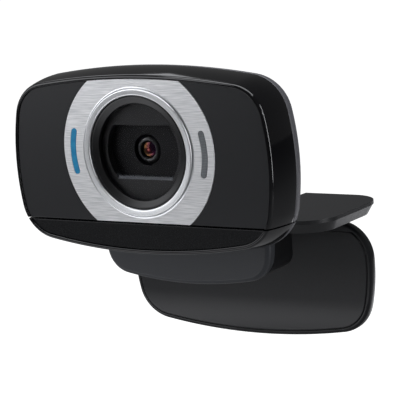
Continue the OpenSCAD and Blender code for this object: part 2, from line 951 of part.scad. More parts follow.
// Steel pin of the tilt hinge
module tilt_pin() {
    color("#a8abb0") at_tilt() rod_x(-knuckle_end, knuckle_end, tilt_pin_r);
}

// Spring washers that give the tilt hinge its friction
module tilt_washers() {
    color("#c3c5c8") both_sides() at_tilt() difference() {
        rod_x(knuckle_start - washer_w, knuckle_start, knuckle_r - 0.3);
        rod_x(knuckle_start - washer_w - over, knuckle_start + over, tilt_pin_r);
    }
}

// ---- Flap ----

// Slots in the flap's top edge for the bridge's ears
module ear_slots() {
    both_sides() {
        at_flap_axis() rod_x(ear_start, slot_end, flap_t / 2 + gap * 1.5);
        block([ear_start, flap_front_y - over, flap_axis_z],
            [slot_end, flap_rear_y + over, flap_top + over]);
    }
}

// The flap's rounded top edge, about its hinge pin
module flap_edge() {
    union() {
        at_flap_axis() rod_x(-flap_w, flap_w, flap_t / 2);
        block([-flap_w, flap_front_y - over, flap_axis_z - flap_h * 2],
            [flap_w, flap_rear_y + over, flap_axis_z]);
    }
}

// Tray of the flap, with its rim and the barrel of its hinge
module flap_back() {
    y0 = flap_front_y;
    y1 = flap_rear_y;
    color("#26272a") difference() {
        intersection() {
            translate([0, 0, flap_mid]) loft(flap_outline, [[y0 + 0.15, -0.35], [y0 + 0.8, 0],
                [y1 - 1.4, 0], [y1 - 0.5, -0.5], [y1, -1.6]]);
            flap_edge();
        }
        translate([0, 0, flap_mid]) intersection() {
            slab(y0 - over, y0 + flap_panel_t) polygon(outline(flap_outline, -flap_wall));
            block([-flap_w, y0 - over, -flap_h * 2],
                [flap_w, flap_axis_y, flap_axis_z - flap_t / 2 - gap - flap_mid]);
        }
        ear_slots();
        at_flap_axis() rod_x(-ear_start - over, ear_start + over, flap_pin_r + running);
        at_flap_screws() {
            turned(-flap_t, over, screw_r, screw_r);
            turned(-1.2, over, screw_head_r + screw_room, screw_head_r + screw_room);
        }
    }
}

// Soft panel on the flap's face
module flap_front() {
    color("#303135") translate([0, 0, flap_mid]) intersection() {
        loft(flap_outline, [[flap_front_y, -flap_wall - 0.35],
            [flap_front_y + 0.3, -flap_wall - 0.1], [flap_front_y + flap_panel_t, -flap_wall - 0.1]]);
        block([-flap_w, flap_front_y - over, -flap_h * 2],
            [flap_w, flap_axis_y, flap_axis_z - flap_t / 2 - gap - 0.1 - flap_mid]);
    }
}

// Steel pin of the flap hinge
module flap_pin() {
    color("#a8abb0") at_flap_axis() rod_x(-ear_end, ear_end, flap_pin_r);
}

// Four screws in the flap's back
module flap_screws() {
    color("#8c8f94") at_flap_screws() difference() {
        screw_y(-1.2, 0.8, flap_panel_t - flap_t, screw_r, screw_head_r);
        cross_y(-0.8, 0);
    }
}

front_shell();
rear_cover();
face_panel();
trim_plate();
light_bar();
mic_bar();
lens_ring();
lens_bezel();
cover_window();
lens_mask();
lens_baffle();
lens_holder();
lens_carrier();
front_lens();
image_sensor();
circuit_board();
image_processor();
status_led();
microphone();
mic_boot();
board_screws();
cover_screws();
cable_grommet();
swivel_post();
swivel_washer();
swivel_clip();
chin_shell();
chin_panel();
chin_rear();
chin_frame();
bridge_cover();
bridge_base();
bridge_pad();
bridge_screws();
clip_lip();
clip_block();
jaw_pad();
thread_insert();
tilt_pin();
tilt_washers();
flap_front();
flap_back();
flap_pin();
flap_screws();
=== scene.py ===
# %% [markdown]
# # A folding clip webcam
# The engineering model gives every piece its place. This script loads it as a fixed frame, draws
# smooth skins over the pieces that the eye reads first, and gives each surface its finish. A size
# comes from the frame's own boxes wherever it can, and every other size is in millimetres.

# %% Load the frame
import json
import math

import bmesh
import bpy
from mathutils import Matrix, Vector, geometry


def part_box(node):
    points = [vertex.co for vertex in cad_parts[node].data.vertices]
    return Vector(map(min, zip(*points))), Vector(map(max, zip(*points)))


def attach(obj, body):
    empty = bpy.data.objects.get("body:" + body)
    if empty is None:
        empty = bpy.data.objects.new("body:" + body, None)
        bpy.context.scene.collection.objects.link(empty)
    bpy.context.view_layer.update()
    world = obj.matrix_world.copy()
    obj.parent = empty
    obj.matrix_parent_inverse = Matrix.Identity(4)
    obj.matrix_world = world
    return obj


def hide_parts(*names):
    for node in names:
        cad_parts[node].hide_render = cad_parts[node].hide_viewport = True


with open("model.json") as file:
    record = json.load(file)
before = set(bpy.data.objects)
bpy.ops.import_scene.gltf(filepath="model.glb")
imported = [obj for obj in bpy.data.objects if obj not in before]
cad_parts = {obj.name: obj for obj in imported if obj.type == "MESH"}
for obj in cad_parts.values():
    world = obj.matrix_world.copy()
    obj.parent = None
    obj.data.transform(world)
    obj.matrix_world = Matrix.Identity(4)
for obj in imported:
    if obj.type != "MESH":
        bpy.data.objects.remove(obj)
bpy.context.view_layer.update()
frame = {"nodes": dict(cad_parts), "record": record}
MM = 0.001


# %% [markdown]
# ## Reading sizes
# The new skins are drawn in millimetres, which keeps small numbers readable, and are scaled to
# metres once, when a mesh is finished. They could be typed in, but a size read from the box of
# the piece that sets it keeps the skins on the parts when a part changes. Only widths that no
# box shows, such as a wall's, are plain numbers.

# %% Sizes of the head
def box_mm(node):
    """Lowest and highest corner of a frame node, in millimetres."""
    low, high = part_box(node)
    return low / MM, high / MM


shell_low, shell_high = box_mm("front_shell")
panel_low = box_mm("face_panel")[0]
ring_low, ring_high = box_mm("lens_ring")
chin_low, chin_high = box_mm("chin_shell")

FACE = panel_low.y
LENS = Vector((0, FACE, (ring_low.z + ring_high.z) / 2))
SPLIT = panel_low.z  # height where the head ends and the chin's gap begins
CHIN_TOP = chin_high.z
PARTING = shell_high.y - FACE  # depth of the line between gloss shell and rear cover
DEPTH = box_mm("rear_cover")[1].y - FACE
LIP = FACE - shell_low.y  # how far the rim stands proud of the face
FLARE = 1.15  # how far the side flares out on its way back
WALL = 1.4  # thickness of the shell
RIM = 0.9  # width of the gloss rim in front
PANEL_T = 1.6  # thickness of the face panel
LEDGE_BACK, LEDGE_IN = 3, 2.7  # the ledge behind the face panel: depth and reach
FLOOR_T = 1.2
FLOOR_JOIN = 3.8  # depth where the shell's floor meets the cover's
print("head:", round(shell_high.x * 2, 1), "mm wide,", round(DEPTH, 1), "mm deep")


# %% [markdown]
# ## One outline, five arcs
# The head, the lip and the flap all have the same kind of outline: four bowed sides and four
# round corners. It could be traced point by point, but arcs that meet on a tangent are what a
# designer draws, and they need only a few sizes. One vertex is spun round the centre of each
# arc in turn, and the half that this draws is mirrored. Each vertex keeps the direction that
# points out of the outline, so the ring can grow or shrink without changing its character.

# %% Draw an outline
class Outline:
    """One closed outline: bows are the radii of top, side and foot, corners the two between.

    top and drop are the heights above and below the centre, widest that of the widest point.
    """

    def __init__(self, centre, half, top, drop, widest, bows, corners):
        self.centre, self.top = centre, top
        over, side, under = bows
        upper_r, lower_r = corners
        top_c = Vector((0, top - over))
        side_c = Vector((half - side, widest))
        under_c = Vector((0, under - drop))
        upper_c = crossing(side_c, side - upper_r, top_c, over - upper_r)
        lower_c = crossing(under_c, under - lower_r, side_c, side - lower_r)
        turns = [math.pi / 2, bearing(upper_c - top_c), bearing(upper_c - side_c),
                 bearing(lower_c - side_c), bearing(lower_c - under_c), -math.pi / 2]
        steps = (14, 14, 12, 14, 14)
        centres = (top_c, upper_c, side_c, lower_c, under_c)
        self.arcs = [(c, b - a, n) for c, a, b, n in zip(centres, turns, turns[1:], steps)]


def crossing(a, ra, b, rb):
    """Where two circles cross, on the left of the way from the first centre to the second."""
    way = b - a
    along = (ra ** 2 - rb ** 2 + way.length_squared) / (2 * way.length)
    aside = math.sqrt(ra ** 2 - along ** 2)
    way.normalize()
    return a + along * way + aside * Vector((-way.y, way.x))


def bearing(v):
    """The angle of a flat vector."""
    return math.atan2(v.y, v.x)


HEAD = Outline(LENS, shell_high.x - FLARE, shell_high.z - FLARE - LENS.z,
               LENS.z - chin_low.z - FLARE, -3, (178, 57, 145), (8.7, 9.5))
print("head outline:", len(HEAD.arcs), "arcs a side")


# %% [markdown]
# ## From an outline to a skin
# A shell is the outline carried back through a list of sections, each a depth and a growth. The
# ring of edges is extruded once for each section and its vertices slide out along their stored
# directions. A curved stretch of the list is a Bezier curve, so a big soft corner needs only
# four points. A loft or a lattice could do the same, but this keeps every loop clean, which is
# what makes a gloss surface reflect without ripples.

# %% Sweep a ring through sections
def draw_ring(bm, outline, depth, growth):
    """The outline as a closed ring of edges at one depth behind its centre."""
    out = bm.verts.layers.float_vector.new("out")
    tip = bm.verts.new((0, 0, outline.top))
    tip[out] = (0, 0, 1)
    for centre, turn, steps in outline.arcs:
        pivot = Vector((centre.x, 0, centre.y))
        before = set(bm.verts)
        made = bmesh.ops.spin(bm, geom=[tip], cent=pivot, axis=(0, -1, 0), angle=turn, steps=steps)
        tip = [g for g in made["geom_last"] if isinstance(g, bmesh.types.BMVert)][0]
        for v in set(bm.verts) - before:
            v[out] = (v.co - pivot).normalized()
    bmesh.ops.mirror(bm, geom=bm.verts[:] + bm.edges[:], axis="X", merge_dist=0.001)
    for v in bm.verts:
        if v.co.x < -0.001:
            v[out] = (-abs(v[out].x), 0, v[out].z)
        v.co += v[out] * growth + Vector((0, depth, 0))
    bmesh.ops.translate(bm, vec=outline.centre, verts=bm.verts)
    return bm.edges[:]


def sweep(outline, sections):
    """A bmesh swept through (depth, growth) sections, and its rings of edges."""
    bm = bmesh.new()
    rings = [draw_ring(bm, outline, *sections[0])]
    out = bm.verts.layers.float_vector["out"]
    for (d0, g0), (d1, g1) in zip(sections, sections[1:]):
        made = bmesh.ops.extrude_edge_only(bm, edges=rings[-1])["geom"]
        edges = [g for g in made if isinstance(g, bmesh.types.BMEdge) and g.is_boundary]
        for v in {v for edge in edges for v in edge.verts}:
            v.co += v[out] * (g1 - g0) + Vector((0, d1 - d0, 0))
        rings.append(edges)
    return bm, rings


def solid(outline, sections, soft=()):
    """A swept body closed at both ends, with some of its rings rounded."""
    bm, rings = sweep(outline, sections)
    for end in (rings[0], rings[-1]):
        bmesh.ops.edgeloop_fill(bm, edges=end)
    bmesh.ops.recalc_face_normals(bm, faces=bm.faces)
    round_rings(bm, rings, soft)
    return bm


def round_rings(bm, rings, soft):
    """Round the rings that soft lists as (ring number, radius)."""
    for number, radius in soft:
        bmesh.ops.bevel(bm, geom=rings[number], offset=radius, segments=4, profile=0.5,
                        affect="EDGES", material=-1, clamp_overlap=True)


def bend(start, pull, push, end, points=8):
    """Points along a Bezier curve between two pairs of numbers."""
    knots = [Vector((*p, 0)) for p in (start, pull, push, end)]
    return [(v.x, v.y) for v in geometry.interpolate_bezier(*knots, points)]


# %% Cut a mesh flat
def cut(bm, height, keep):
    """Keep what is above or below a height, and close the cut."""
    made = bmesh.ops.bisect_plane(
        bm, geom=bm.verts[:] + bm.edges[:] + bm.faces[:], plane_co=(0, 0, height),
        plane_no=(0, 0, 1), clear_outer=keep == "below", clear_inner=keep == "above")
    edges = [g for g in made["geom_cut"] if isinstance(g, bmesh.types.BMEdge)]
    bmesh.ops.edgeloop_fill(bm, edges=edges)
    bmesh.ops.recalc_face_normals(bm, faces=bm.faces)


# %% [markdown]
# ## Colours and node helpers
# Colours are written as the hex values that a paint chart gives, and one function turns them
# into the linear values that a shader works in. One more function adds a node with its settings
# and links, so a finish reads as a short list. An image could carry grain and colour too, but
# noise in the object's own coordinates has no seam and stays sharp at any distance.

# %% Node helpers
def linear(code):
    """An sRGB hex colour as linear red, green, blue and alpha."""
    parts = [int(code[i:i + 2], 16) / 255 for i in (1, 3, 5)]
    return [c / 12.92 if c <= 0.04045 else ((c + 0.055) / 1.055) ** 2.4 for c in parts] + [1]


def add(tree, kind, sockets=None, links=None, **settings):
    """Add a node: settings are its properties, sockets its input values, links its inputs."""
    node = tree.nodes.new(kind)
    for key, value in settings.items():
        setattr(node, key, value)
    for key, value in (sockets or {}).items():
        node.inputs[key].default_value = value
    for key, source in (links or {}).items():
        tree.links.new(source, node.inputs[key])
    return node


def finish(name, colour, roughness, **more):
    """A new material with a Principled shader, its own values set on its own sockets."""
    made = bpy.data.materials.new(name)
    made.use_nodes = True
    tree = made.node_tree
    shader = tree.nodes["Principled BSDF"]
    shader.inputs["Base Color"].default_value = linear(colour)
    shader.inputs["Roughness"].default_value = roughness
    for key, value in more.items():
        shader.inputs[key.replace("_", " ").title().replace("Ior", "IOR")].default_value = value
    return made, tree, shader


def per_mm(size):
    """The scale of a pattern whose features are this many millimetres across."""
    return 1 / (size * MM)


def grain(tree, shader, size, depth, rough=None, stretch=(1, 1, 1), turns=3):
    """Noise with features of one size: a bump of that depth in mm, and a band of roughness."""
    place = add(tree, "ShaderNodeTexCoord")
    scaled = add(tree, "ShaderNodeMapping", {"Scale": stretch}, {"Vector": place.outputs["Object"]})
    noise = add(tree, "ShaderNodeTexNoise", {"Scale": per_mm(size), "Detail": turns},
                {"Vector": scaled.outputs["Vector"]})
    bump = add(tree, "ShaderNodeBump", {"Strength": 1, "Distance": depth * MM},
               {"Height": noise.outputs["Fac"]})
    tree.links.new(bump.outputs["Normal"], shader.inputs["Normal"])
    if rough:
        band = add(tree, "ShaderNodeMapRange", {"To Min": rough[0], "To Max": rough[1]},
                   {"Value": noise.outputs["Fac"]})
        tree.links.new(band.outputs["Result"], shader.inputs["Roughness"])
    return noise


def tint(tree, shader, noise, low, high):
    """Blend two colours by a noise that is already in the tree."""
    ramp = add(tree, "ShaderNodeValToRGB", links={"Fac": noise.outputs["Fac"]})
    ramp.color_ramp.elements[0].position = 0.35
    ramp.color_ramp.elements[1].position = 0.65
    ramp.color_ramp.elements[0].color = linear(low)
    ramp.color_ramp.elements[1].color = linear(high)
    tree.links.new(ramp.outputs["Color"], shader.inputs["Base Color"])


# %% [markdown]
# ## Moulded plastics
# Most of the camera is ABS. What separates one plastic piece from the next is the wall of its
# mould: polished steel leaves a mirror, a fine etch leaves satin, spark erosion leaves a dry
# matte grain. So each finish starts from the same dark resin and differs in grain and roughness.

# %% Polished ABS: the gloss shell
# Piano-black ABS from a polished mould: nearly black, mirror-like, with a faint long ripple
# where the wall sank as it cooled.
def polished_abs():
    made, tree, shader = finish("polished_abs", "#060609", 0.07, ior=1.52)
    grain(tree, shader, size=9, depth=0.012, rough=(0.05, 0.1), turns=1)
    return made


# %% Satin resins: face, lip and chin panels
# Charcoal ABS with a fine etched texture, which lets a soft light bloom. The board's solder mask,
# the chip's epoxy and the light's resin have the same IOR and the same kind of satin surface.
def satin_resin(name, low, high, roughness, level=0.44):
    made, tree, shader = finish(name, low, roughness, ior=1.5, specular_ior_level=level)
    noise = grain(tree, shader, size=0.16, depth=0.006, rough=(roughness - 0.05, roughness + 0.06))
    tint(tree, shader, noise, low, high)
    return made


# %% Spark-eroded ABS: the rear cover
# A dry matte grain, coarse enough to feel. Its pits are drawn at 0.25 to 0.3 mm so that they show.
def eroded_abs(name, low, high, roughness, size=0.3, depth=0.03, level=0.5):
    made, tree, shader = finish(name, low, roughness, ior=1.5, specular_ior_level=level)
    noise = grain(tree, shader, size=size, depth=depth, rough=(roughness - 0.08, roughness + 0.08))
    tint(tree, shader, noise, low, high)
    return made


# %% Soft-touch paint: the flap
# Polyurethane paint that feels like rubber: very even, no hard glint, a soft pale sheen.
def soft_touch():
    made, tree, shader = finish("soft_touch_paint", "#101113", 0.3, specular_ior_level=0.32,
                                sheen_weight=0.03, sheen_roughness=0.5)
    noise = grain(tree, shader, size=0.3, depth=0.002, rough=(0.26, 0.33))
    tint(tree, shader, noise, "#0e0f11", "#131417")
    return made


# %% Silicone rubber: pads, boot and bush
# Moulded silicone with a talc bloom: dull, slightly uneven.
def silicone_rubber():
    made, tree, shader = finish("silicone_rubber", "#19191a", 0.72, ior=1.41, sheen_weight=0.2)
    noise = grain(tree, shader, size=0.4, depth=0.03, rough=(0.62, 0.8))
    tint(tree, shader, noise, "#151516", "#202022")
    return made


# %% [markdown]
# ## Metals
# The plate round the lens is aluminium foil on plastic, brushed from side to side, and the ring
# is turned and polished. Brushing is a forest of scratches that run one way, so its noise is
# stretched along X until each grain is a line. The lines are drawn coarser than real ones, or
# they would average away at this distance. An anisotropic shader could give the same smear of
# light, but it needs tangents on every piece and shows no single scratch.

# %% Brushed aluminium: the trim plate
def brushed_aluminium():
    made, tree, shader = finish("brushed_aluminium", "#d9dadc", 0.34, metallic=1)
    noise = grain(tree, shader, size=0.2, depth=0.012, rough=(0.3, 0.42),
                  stretch=(0.04, 1, 1), turns=5)
    tint(tree, shader, noise, "#cccecf", "#f0f0f1")
    return made


# %% Turned metals: ring, pins, screws, insert
# A lathe leaves fine rings. At this size they only soften the mirror, so a small noise does.
def turned_metal(name, low, high, roughness, size=0.12, depth=0.002):
    made, tree, shader = finish(name, high, roughness, metallic=1)
    noise = grain(tree, shader, size=size, depth=depth, rough=(roughness - 0.04, roughness + 0.06))
    tint(tree, shader, noise, low, high)
    return made


# %% [markdown]
# ## Optics and lights
# The cover is clear acrylic. The lens is glass with a thin coating that kills reflections and
# throws back what is left as magenta and green, which is a thin film on the shader. The blue
# bar is tinted acrylic with a lamp behind it, so it glows a little all over.

# %% Clear acrylic: the cover
# Moulded PMMA with an anti-reflection coat. The coat is why its IOR is set far below PMMA's 1.49:
# the disc should show the recess behind it and hardly a lamp.
def clear_acrylic():
    made, tree, shader = finish("clear_acrylic", "#ffffff", 0.02, ior=1.1,
                                transmission_weight=1)
    grain(tree, shader, size=12, depth=0.002, turns=1)
    # Lamps shine straight through the cover, or the lens behind it would be lit by luck
    through = add(tree, "ShaderNodeBsdfTransparent")
    path = add(tree, "ShaderNodeLightPath")
    mix = add(tree, "ShaderNodeMixShader",
              links={0: path.outputs["Is Shadow Ray"], 1: shader.outputs["BSDF"],
                     2: through.outputs["BSDF"]})
    tree.links.new(mix.outputs[0], tree.nodes["Material Output"].inputs["Surface"])
    return made


# %% Coated glass: the front lens
# Dense polished glass under magnesium fluoride, a film 293 nm thick with an IOR of 1.38. The glass
# is drawn opaque and dark, with a glow that stands for light returned by the sensor.
def coated_glass():
    made, tree, shader = finish("coated_glass", "#0a070a", 0.05, ior=1.6,
                                thin_film_thickness=293, thin_film_ior=1.38)
    grain(tree, shader, size=1.6, depth=0.002, turns=0)
    reach = 1.1  # the glow fades out this far from the axis, in mm
    place = add(tree, "ShaderNodeTexCoord")
    eye = Vector((LENS.x, box_mm("front_lens")[0].y, LENS.z)) / reach
    centred = add(tree, "ShaderNodeMapping", {"Location": -eye, "Scale": [per_mm(reach)] * 3},
                  {"Vector": place.outputs["Object"]})
    ball = add(tree, "ShaderNodeTexGradient", links={"Vector": centred.outputs["Vector"]},
               gradient_type="SPHERICAL")
    ramp = add(tree, "ShaderNodeValToRGB", links={"Fac": ball.outputs["Fac"]})
    stops = ramp.color_ramp.elements
    stops[0].position, stops[1].position = 0.2, 0.9
    stops[0].color, stops[1].color = linear("#08070b"), linear("#a8605a")
    for where, colour in ((0.45, "#1c080e"), (0.7, "#48161a")):
        stops.new(where).color = linear(colour)
    tree.links.new(ramp.outputs["Color"], shader.inputs["Base Color"])
    return made


# %% Tinted acrylic: the light bar
# Blue PMMA with a moulded satin face. The lamp behind it makes the whole bar glow a little.
def tinted_acrylic():
    made, tree, shader = finish("tinted_acrylic", "#1476a2", 0.28, ior=1.49)
    noise = grain(tree, shader, size=1.4, depth=0.004, turns=1)
    tint(tree, shader, noise, "#10709e", "#1b82ac")
    shader.inputs["Emission Color"].default_value = linear("#1476a2")
    shader.inputs["Emission Strength"].default_value = 0.22
    return made


# %% Anti-glare black: inside the lens recess
# Flocked black paint swallows light, so its specular level is set far below a plastic's.
def matte_black(name, level):
    made, tree, shader = finish(name, "#060608", 0.5, specular_ior_level=level)
    noise = grain(tree, shader, size=0.3, depth=0.01, rough=(0.45, 0.6))
    tint(tree, shader, noise, "#050507", "#09090c")
    return made


# %% Acoustic mesh: the microphone bar
# Woven steel cloth over the microphone. Two crossed waves make the weave, drawn at 0.35 mm.
def acoustic_mesh():
    made, tree, shader = finish("acoustic_mesh", "#55585b", 0.5, metallic=0.4)
    place = add(tree, "ShaderNodeTexCoord")
    # A wave texture turns 20 radians in one unit of its scale
    thread = 2 * math.pi / 20 * per_mm(0.35)
    waves = [add(tree, "ShaderNodeTexWave", {"Scale": thread},
                 {"Vector": place.outputs["Object"]}, bands_direction=way) for way in "XZ"]
    cloth = add(tree, "ShaderNodeMath", operation="MULTIPLY",
                links={side: wave.outputs["Fac"] for side, wave in enumerate(waves)})
    bump = add(tree, "ShaderNodeBump", {"Distance": 0.05 * MM, "Strength": 1},
               {"Height": cloth.outputs[0]})
    tree.links.new(bump.outputs["Normal"], shader.inputs["Normal"])
    ramp = add(tree, "ShaderNodeValToRGB", links={"Fac": cloth.outputs[0]})
    ramp.color_ramp.elements[0].color = linear("#565a5d")
    ramp.color_ramp.elements[1].color = linear("#94989b")
    tree.links.new(ramp.outputs["Color"], shader.inputs["Base Color"])
    return made


# %% One finish for each material slot
# The record names a slot for every node, and each slot has one finish here.
FINISH = {
    "gloss_black": polished_abs(),
    "satin_charcoal": satin_resin("satin_abs_charcoal", "#141518", "#1a1b1e", 0.3),
    "rear_grey": eroded_abs("eroded_abs_grey", "#525256", "#626267", 0.5),
    "clip_black": eroded_abs("eroded_abs_black", "#141517", "#1b1c1e", 0.42, 0.25, 0.012),
    "lip_charcoal": satin_resin("satin_abs_lip", "#303236", "#36383c", 0.36),
    "soft_black": soft_touch(),
    "pad_rubber": silicone_rubber(),
    "brushed_aluminium": brushed_aluminium(),
    "bright_ring": turned_metal("polished_aluminium", "#dfe1e3", "#eeeff0", 0.3),
    "lens_black": satin_resin("satin_abs_black", "#070709", "#0b0b0d", 0.34),
    "window_clear": clear_acrylic(),
    "lens_glass": coated_glass(),
    "blue_light": tinted_acrylic(),
    "mic_grey": acoustic_mesh(),
    "steel": turned_metal("ground_steel", "#9c9fa4", "#b4b7bc", 0.3),
    "spring_steel": turned_metal("spring_steel", "#a8abb0", "#c6c9cd", 0.25),
    "screw_steel": turned_metal("black_zinc_steel", "#5c5e62", "#7d8085", 0.35),
    "brass": turned_metal("turned_brass", "#a8864a", "#c9a76a", 0.28),
    "board_green": satin_resin("solder_mask_green", "#174b2c", "#1f6139", 0.3),
    "chip_black": satin_resin("moulded_epoxy", "#1d1d1f", "#272729", 0.55),
    "capsule_metal": turned_metal("nickelled_capsule", "#a5a5a1", "#c4c4c0", 0.3),
    "led_cream": satin_resin("led_resin", "#e0dcc0", "#ece8cf", 0.3),
}
print("finishes:", len(FINISH))


# %% [markdown]
# ## Turning a bmesh into a piece
# Every new piece goes through one door. It is scaled to metres, shaded smooth with its sharp
# edges kept, given its finish and tied to the body it moves with, and the frame node it stands
# for is hidden. Weighted normals keep a flat face flat right up to its rounded edge.

# %% Make a piece
def make_object(bm, name):
    """A finished bmesh, in millimetres, as a linked object in metres."""
    bmesh.ops.scale(bm, vec=(MM, MM, MM), verts=bm.verts)
    mesh = bpy.data.meshes.new(name)
    bm.to_mesh(mesh)
    bm.free()
    made = bpy.data.objects.new(name, mesh)
    bpy.context.scene.collection.objects.link(made)
    return made


def combine(piece, shape, operation="DIFFERENCE"):
    """Cut, join or intersect a piece with a bmesh in millimetres or an object, and apply it."""
    tool = make_object(shape, "tool") if isinstance(shape, bmesh.types.BMesh) else shape
    change = piece.modifiers.new("shape", "BOOLEAN")
    change.operation = operation
    change.solver = "EXACT"
    change.object = tool
    graph = bpy.context.evaluated_depsgraph_get()
    shaped = bpy.data.meshes.new_from_object(piece.evaluated_get(graph))
    piece.modifiers.remove(change)
    piece.data = shaped
    bpy.data.objects.remove(tool)
    return piece


def dress(piece, body, slot, *nodes, edge=0, sharp=32):
    """Shade, finish and place a piece. edge rounds it, in mm, where it turns more than sharp."""
    mesh = piece.data
    mesh.materials.clear()
    mesh.materials.append(FINISH[slot])
    mesh.shade_smooth()
    mesh.set_sharp_from_angle(angle=math.radians(sharp))
    if edge:
        rounding = piece.modifiers.new("edges", "BEVEL")
        rounding.width = edge * MM
        rounding.segments = 3
        rounding.limit_method = "ANGLE"
        rounding.angle_limit = math.radians(sharp)
    even = piece.modifiers.new("even", "WEIGHTED_NORMAL")
    even.keep_sharp = True
    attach(piece, body)
    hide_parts(*nodes)
    print(piece.name, len(mesh.polygons), "faces")
    return piece


# %% Small solids to cut and join with, and a frame node's copy
def rod(start, end, radius, segments=64):
    """A cylinder between two points, in millimetres."""
    bm = bmesh.new()
    way = Vector(end) - Vector(start)
    bmesh.ops.create_cone(bm, cap_ends=True, segments=segments, radius1=radius, radius2=radius,
                          depth=way.length)
    turn = way.to_track_quat("Z", "Y").to_matrix().to_4x4()
    middle = Matrix.Translation((Vector(start) + Vector(end)) / 2)
    bmesh.ops.transform(bm, matrix=middle @ turn, verts=bm.verts)
    return bm


def brick(low, high):
    """A box between two corners, in millimetres."""
    bm = bmesh.new()
    bmesh.ops.create_cube(bm, size=1)
    bmesh.ops.scale(bm, vec=Vector(high) - Vector(low), verts=bm.verts)
    bmesh.ops.translate(bm, vec=(Vector(high) + Vector(low)) / 2, verts=bm.verts)
    return bm


def frame_copy(node, body, slot, edge):
    """A copy of a frame node with its loose triangles merged and its edges rounded."""
    bm = bmesh.new()
    bm.from_mesh(frame["nodes"][node].data)
    bmesh.ops.remove_doubles(bm, verts=bm.verts, dist=0.001 * MM)
    bmesh.ops.dissolve_limit(bm, verts=bm.verts, edges=bm.edges, angle_limit=math.radians(1))
    bmesh.ops.scale(bm, vec=(1 / MM, 1 / MM, 1 / MM), verts=bm.verts)
    return dress(make_object(bm, node + "_skin"), body, slot, node, edge=edge)


# %% [markdown]
# ## The head's gloss shell
# The shell is a frame round the face: a rim in front, a side that flares out to the parting
# line, and a wall inside. It could be one skin with a Solidify modifier, but the rim and the wall
# differ in width. So its cross-section is a closed loop, the sweep runs all the way round it and
# the last ring is merged with the first. It is then cut flat where the chin begins, and a floor
# is joined on.

# %% Gloss shell
def front_skin():
    """Sections of the outer skin from the rim back to the parting line."""
    side = bend((0.05, 0.02), (PARTING * 0.35, FLARE * 0.62), (PARTING * 0.7, FLARE),
                (PARTING, FLARE), 10)
    return [(-LIP, -RIM), (-LIP, -0.3)] + side


def head_floor(front, back, growth):
    """The floor of the head between two depths."""
    bm = solid(HEAD, [(front, growth), (back, growth)])
    cut(bm, SPLIT + FLOOR_T, "below")
    cut(bm, SPLIT, "above")
    return bm


def gloss_shell():
    ledge = [(LEDGE_BACK, -0.88), (LEDGE_BACK, -LEDGE_IN), (PANEL_T, -LEDGE_IN), (PANEL_T, -RIM)]
    loop = [(PANEL_T, -RIM)] + front_skin() + [(PARTING, FLARE - WALL)] + ledge
    bm, rings = sweep(HEAD, loop)
    bmesh.ops.remove_doubles(bm, verts=bm.verts, dist=0.001)
    bmesh.ops.recalc_face_normals(bm, faces=bm.faces)
    round_rings(bm, rings, [(1, 0.18), (2, 0.2), (3, 0.4), (len(front_skin()), 0.14)])
    cut(bm, SPLIT, "above")
    shell = make_object(bm, "gloss_shell")
    combine(shell, head_floor(PANEL_T, FLOOR_JOIN, -1.3), "UNION")
    return dress(shell, "head", "gloss_black", "front_shell")


gloss_shell()


# %% [markdown]
# ## The rear cover
# A bowl: the same outline runs back from the parting line, turns through one long soft corner
# and ends in a flat back. The sweep starts on the inner wall and ends on the outside, so the
# wall has its real thickness. Four screws, the cable's bush and the swivel post need holes. They
# could be insets in the back face, but an exact Boolean keeps round holes crisp on a curved wall.

# %% Rear cover
screw_low, screw_high = box_mm("cover_screws")
bush_low, bush_high = box_mm("cable_grommet")
post_low, post_high = box_mm("swivel_post")
SCREW_R = 1.6  # a cover screw's head
BUSH_R = 2.6
POST_R = 2.65


def rear_cover():
    back = DEPTH - WALL
    outer = bend((PARTING + 0.3, FLARE + 0.05), (PARTING + 3.4, FLARE + 0.1),
                 (DEPTH - 0.25, FLARE - 2.7), (DEPTH, FLARE - 6.2), 14)
    inner = [(back, FLARE - 4.7), (back - 1.5, FLARE - 2.7), (PARTING + 1.5, FLARE - WALL),
             (PARTING, FLARE - WALL)]
    bm, rings = sweep(HEAD, inner + [(PARTING, FLARE - 0.15)] + outer)
    for end in (rings[0], rings[-1]):
        bmesh.ops.edgeloop_fill(bm, edges=end)
    bmesh.ops.recalc_face_normals(bm, faces=bm.faces)
    cut(bm, SPLIT, "above")
    cover = make_object(bm, "matte_rear_cover")
    combine(cover, head_floor(FLOOR_JOIN + 0.1, PARTING, -0.98), "UNION")
    combine(cover, head_floor(PARTING - 0.01, DEPTH - WALL - 0.8, -0.6), "UNION")
    for x in (screw_low.x + SCREW_R, screw_high.x - SCREW_R):
        for z in (screw_low.z + SCREW_R, screw_high.z - SCREW_R):
            place = Vector((x, FACE, z))
            deep = place + Vector((0, DEPTH - 2, 0))
            combine(cover, rod(deep, place + Vector((0, DEPTH + 1, 0)), SCREW_R + 0.2, 32))
    bush = (bush_low + bush_high) / 2
    out = FACE + DEPTH
    combine(cover, rod((bush.x, out - 5, bush.z), (bush.x, out + 1, bush.z), BUSH_R))
    post = (post_low + post_high) / 2
    combine(cover, rod((post.x, post.y, SPLIT - 1), (post.x, post.y, SPLIT + 2), POST_R))
    return dress(cover, "head", "rear_grey", "rear_cover", edge=0.08)


rear_cover()


# %% [markdown]
# ## The chin
# Below the split the same skin goes on, on another body, because the head swivels and the chin
# stays. One sweep could be split in two, but each half needs its own closed end, so each is swept
# and cut for itself, with a gap between them. Both halves are hollowed for the frame that
# carries the post.

# %% Chin shell and chin rear
seat_low, seat_high = box_mm("chin_frame")
POCKET = 1.4  # depth of the chin panel's pocket


def chin_room():
    """The space that the chin's frame fills."""
    return brick((seat_low.x - 0.1, FACE + 2, seat_low.z),
                 (seat_high.x + 0.1, FACE + DEPTH + 5, SPLIT))


